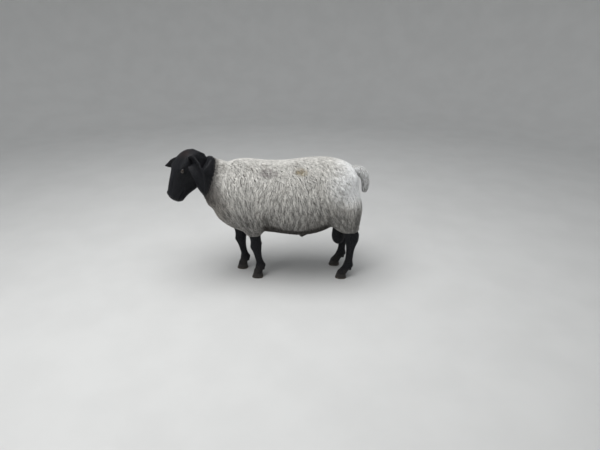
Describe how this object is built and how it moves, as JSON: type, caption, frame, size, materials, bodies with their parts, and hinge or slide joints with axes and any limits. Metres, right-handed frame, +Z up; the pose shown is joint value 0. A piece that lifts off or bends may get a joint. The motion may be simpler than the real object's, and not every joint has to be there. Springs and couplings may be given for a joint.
{
  "type": "suffolk ram",
  "caption": "Suffolk ram standing, head turned to its left: dense cream fleece, smooth black head, hanging ears and bare black lower legs. Still life-size model.",
  "frame": {"origin": "centre of the underside of the model's box, on the floor that the hooves stand on", "axes": "+X towards the tail, the ram faces -X and its left side faces -Y, +Z up"},
  "size_m": [1.2924, 0.4682, 0.8657],
  "materials": {
    "fleece": "matte",
    "black_coat": "matte",
    "horn": "satin",
    "eye": "gloss"
  },
  "bodies": {
    "root": {"claw_front_left_left": "horn", "claw_front_left_right": "horn", "claw_front_right_left": "horn", "claw_front_right_right": "horn", "claw_hind_left_left": "horn", "claw_hind_left_right": "horn", "claw_hind_right_left": "horn", "claw_hind_right_right": "horn", "ear_left": "black_coat", "ear_right": "black_coat", "eye_left": "eye", "eye_right": "eye", "head": "black_coat", "leg_front_left": "black_coat", "leg_front_right": "black_coat", "leg_hind_left": "black_coat", "leg_hind_right": "black_coat", "neck": "fleece", "scrotum": "black_coat", "tail": "fleece", "torso": "fleece"}
  },
  "joints": []
}
